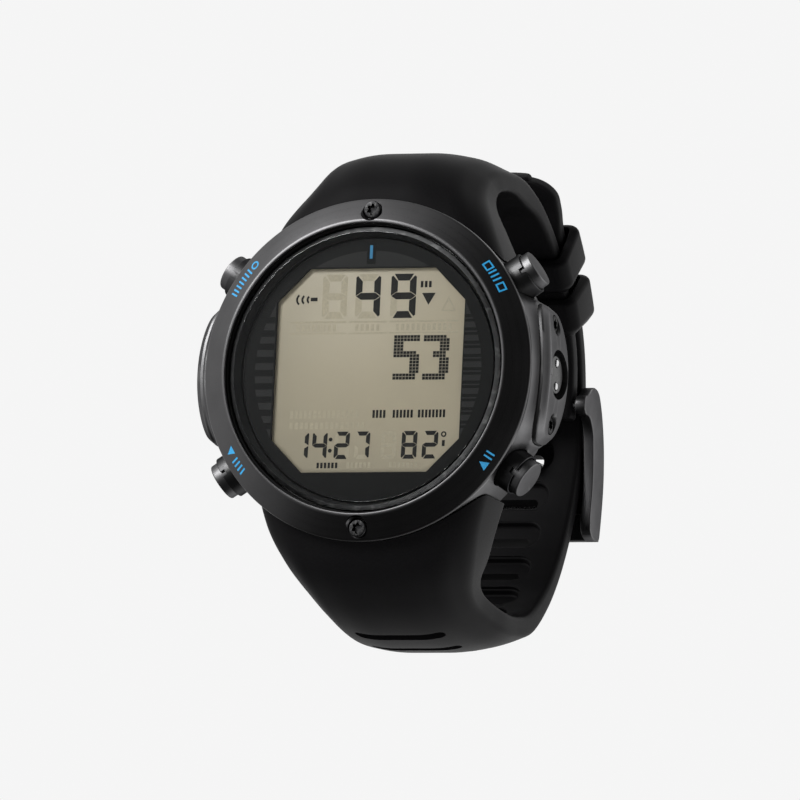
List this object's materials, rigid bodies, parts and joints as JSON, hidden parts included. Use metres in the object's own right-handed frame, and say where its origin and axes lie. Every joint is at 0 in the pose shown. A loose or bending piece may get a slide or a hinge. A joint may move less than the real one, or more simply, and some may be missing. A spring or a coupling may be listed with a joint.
{
  "type": "dive computer",
  "caption": "Wrist-worn dive computer: round steel case with a digital display, four push buttons and a closed black rubber strap with a steel buckle.",
  "frame": {"origin": "centre of the case back's outer face", "axes": "+Y out of the case back, into the wrist, so the dial faces -Y; +Z towards 12 o'clock; +X towards 3 o'clock"},
  "size_m": [0.05, 0.061, 0.068],
  "materials": {
    "steel_satin": "satin, dark grey",
    "steel_dark": "satin, near black",
    "steel_bright": "bright",
    "rubber_black": "matte",
    "glass_clear": "polished",
    "lcd_panel": "reflective liquid crystal display",
    "plastic_black": "matte",
    "board_green": "solder mask",
    "battery_can": "nickel",
    "gold_plate": "bright"
  },
  "bodies": {
    "case": {"antenna_coil": "gold_plate", "back_gasket": "rubber_black", "back_screw_1": "steel_dark", "back_screw_2": "steel_dark", "back_screw_3": "steel_dark", "back_screw_4": "steel_dark", "backlight_panel": "plastic_black", "battery": "battery_can", "bezel": "steel_dark", "bezel_screw_12": "steel_dark", "bezel_screw_6": "steel_dark", "buckle_pin": "steel_bright", "button_collar_down": "steel_satin", "button_collar_mode": "steel_satin", "button_collar_select": "steel_satin", "button_collar_up": "steel_satin", "buzzer": "gold_plate", "case_back": "steel_satin", "case_body": "steel_satin", "circuit_board": "board_green", "contact_pin_lower": "steel_bright", "contact_pin_upper": "steel_bright", "contact_port": "plastic_black", "crystal": "glass_clear", "crystal_gasket": "rubber_black", "dial_mask": "plastic_black", "dial_ring": "steel_satin", "lcd_panel": "lcd_panel", "left_cover": "steel_satin", "left_cover_screw_lower": "steel_dark", "left_cover_screw_upper": "steel_dark", "module_frame": "plastic_black", "pressure_sensor": "gold_plate", "right_cover": "steel_satin", "right_cover_screw_lower": "steel_dark", "right_cover_screw_upper": "steel_dark", "strap_lower": "rubber_black", "strap_pin_lower": "steel_bright", "strap_pin_upper": "steel_bright", "strap_upper": "rubber_black"},
    "select_button": {"button_select": "steel_satin", "button_clip_select": "steel_bright", "button_seal_select": "rubber_black", "button_spring_select": "steel_bright"},
    "mode_button": {"button_mode": "steel_satin", "button_clip_mode": "steel_bright", "button_seal_mode": "rubber_black", "button_spring_mode": "steel_bright"},
    "up_button": {"button_up": "steel_satin", "button_clip_up": "steel_bright", "button_seal_up": "rubber_black", "button_spring_up": "steel_bright"},
    "down_button": {"button_down": "steel_satin", "button_clip_down": "steel_bright", "button_seal_down": "rubber_black", "button_spring_down": "steel_bright"},
    "upper_keeper": {"keeper_upper": "rubber_black"},
    "lower_keeper": {"keeper_lower": "rubber_black"},
    "buckle": {"buckle_frame": "steel_satin"},
    "tongue": {"buckle_tongue": "steel_bright"}
  },
  "joints": [
    {"name": "press_select", "type": "slide", "parent": "case", "child": "select_button", "axis": [0.8358, 0, -0.549], "range_m": [0, 0.0008], "stiffness_N_per_m": 400, "springref_m": -0.0025, "deforming": ["button_spring_select"]},
    {"name": "press_mode", "type": "slide", "parent": "case", "child": "mode_button", "axis": [-0.8358, 0, -0.549], "range_m": [0, 0.0008], "stiffness_N_per_m": 400, "springref_m": -0.0025, "deforming": ["button_spring_mode"]},
    {"name": "press_up", "type": "slide", "parent": "case", "child": "up_button", "axis": [-0.8358, 0, 0.549], "range_m": [0, 0.0008], "stiffness_N_per_m": 400, "springref_m": -0.0025, "deforming": ["button_spring_up"]},
    {"name": "press_down", "type": "slide", "parent": "case", "child": "down_button", "axis": [0.8358, 0, 0.549], "range_m": [0, 0.0008], "stiffness_N_per_m": 400, "springref_m": -0.0025, "deforming": ["button_spring_down"]},
    {"name": "slide_keeper_upper", "type": "hinge", "parent": "case", "child": "upper_keeper", "pos_m": [0, 0.0053, -0.0023], "axis": [1, 0, 0], "range_deg": [0, 1.5]},
    {"name": "slide_keeper_lower", "type": "hinge", "parent": "case", "child": "lower_keeper", "pos_m": [0, 0.0053, -0.0023], "axis": [-1, 0, 0], "range_deg": [0, 4]},
    {"name": "lift_buckle", "type": "hinge", "parent": "case", "child": "buckle", "pos_m": [0, 0.0369, 0.0034], "axis": [1, 0, 0], "range_deg": [0, 2.5]},
    {"name": "lift_tongue", "type": "hinge", "parent": "buckle", "child": "tongue", "pos_m": [0, 0.0369, 0.0034], "axis": [1, 0, 0], "range_deg": [0, 2.5]}
  ]
}
